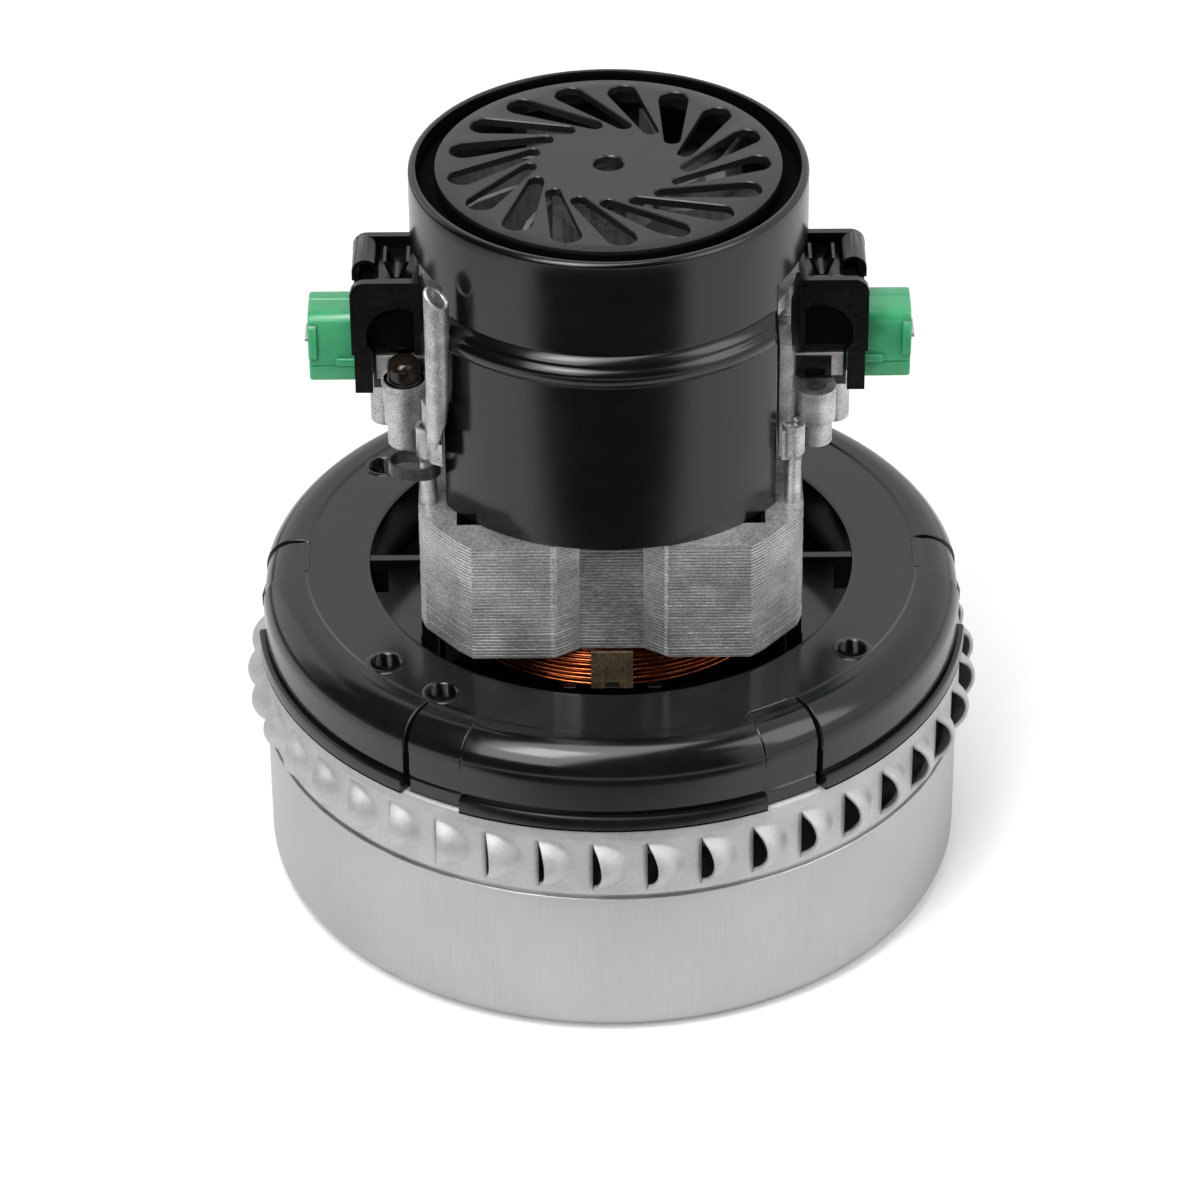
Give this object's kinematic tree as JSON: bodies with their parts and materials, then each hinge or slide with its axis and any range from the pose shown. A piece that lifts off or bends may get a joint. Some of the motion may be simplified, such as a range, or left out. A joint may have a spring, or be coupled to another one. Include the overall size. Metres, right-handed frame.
{
  "type": "vacuum motor",
  "caption": "Two stage bypass vacuum motor with a louvred discharge ring, a moulded mounting bracket, a brushed motor and a grille cover over its cooling fan.",
  "frame": {"origin": "centre of the flat underside of the fan case, on the shaft axis", "axes": "+Z along the shaft, from the air inlet to the cover; +X along the brush axis; +Y to the back of the view in the picture"},
  "size_m": [0.151, 0.1508, 0.1594],
  "materials": {
    "shell_aluminium": "brushed",
    "ring_aluminium": "satin",
    "stage_aluminium": "satin",
    "bracket_plastic": "moulded, glossy",
    "cover_plastic": "moulded, glossy",
    "guard_plastic": "moulded, semi-matt",
    "insulator_plastic": "translucent",
    "cast_aluminium": "as cast",
    "lamination_steel": "stacked sheet",
    "winding_copper": "enamelled",
    "slot_paper": "paper",
    "card_black": "matt",
    "bright_steel": "turned",
    "bearing_steel": "ground",
    "dark_steel": "blackened",
    "clip_steel": "grey",
    "brush_brass": "drawn",
    "terminal_tin": "tinned",
    "carbon": "carbon",
    "commutator_copper": "turned",
    "hub_resin": "moulded",
    "seal_felt": "felt",
    "fan_aluminium": "stamped"
  },
  "bodies": {
    "housing": {"fan_shell": "shell_aluminium", "stationary_fan": "stage_aluminium", "stage_divider": "stage_aluminium", "discharge_ring": "ring_aluminium", "fan_bracket": "bracket_plastic", "shaft_seal": "seal_felt", "lower_bearing_outer_race": "bearing_steel", "stator_core": "lamination_steel", "slot_insulators": "slot_paper", "front_field_coil": "winding_copper", "rear_field_coil": "winding_copper", "coil_end_tabs": "card_black", "commutator_bracket": "cast_aluminium", "stator_screws": "bright_steel", "upper_bearing_outer_race": "bearing_steel", "bearing_wave_spring": "bright_steel", "motor_cover": "cover_plastic", "left_brush_guard": "guard_plastic", "right_brush_guard": "guard_plastic", "left_brush_insulator": "insulator_plastic", "right_brush_insulator": "insulator_plastic", "left_brush_tube": "brush_brass", "right_brush_tube": "brush_brass", "left_terminal": "terminal_tin", "right_terminal": "terminal_tin", "left_boss_screw": "dark_steel", "lead_clip": "clip_steel", "left_brush_spring": "bright_steel", "right_brush_spring": "bright_steel"},
    "rotor": {"shaft": "bright_steel", "armature_core": "lamination_steel", "armature_winding": "winding_copper", "commutator_hub": "hub_resin", "commutator_bars": "commutator_copper", "lower_bearing_inner_race": "bearing_steel", "lower_bearing_balls": "bearing_steel", "upper_bearing_inner_race": "bearing_steel", "upper_bearing_balls": "bearing_steel", "cooling_fan": "fan_aluminium", "cooling_fan_nut": "bright_steel", "top_spacer": "bright_steel", "first_impeller_eye_plate": "stage_aluminium", "first_impeller_vanes": "stage_aluminium", "first_impeller_back_plate": "stage_aluminium", "second_impeller_eye_plate": "stage_aluminium", "second_impeller_vanes": "stage_aluminium", "second_impeller_back_plate": "stage_aluminium", "impeller_spacer": "bright_steel", "bearing_spacer": "bright_steel", "impeller_washer": "bright_steel", "impeller_nut": "bright_steel"},
    "left_brush": {"left_brush": "carbon"},
    "right_brush": {"right_brush": "carbon"}
  },
  "joints": [
    {"name": "rotor_spin", "type": "hinge", "parent": "housing", "child": "rotor", "pos_m": [0, 0, 0.0678], "axis": [0, 0, 1], "continuous": true},
    {"name": "left_brush_slide", "type": "slide", "parent": "housing", "child": "left_brush", "axis": [-1, 0, 0], "range_m": [0, 0.006], "stiffness_N_per_m": 150, "springref_m": -0.012, "deforming": ["left_brush_spring"]},
    {"name": "right_brush_slide", "type": "slide", "parent": "housing", "child": "right_brush", "axis": [1, 0, 0], "range_m": [0, 0.006], "stiffness_N_per_m": 150, "springref_m": -0.012, "deforming": ["right_brush_spring"]}
  ]
}
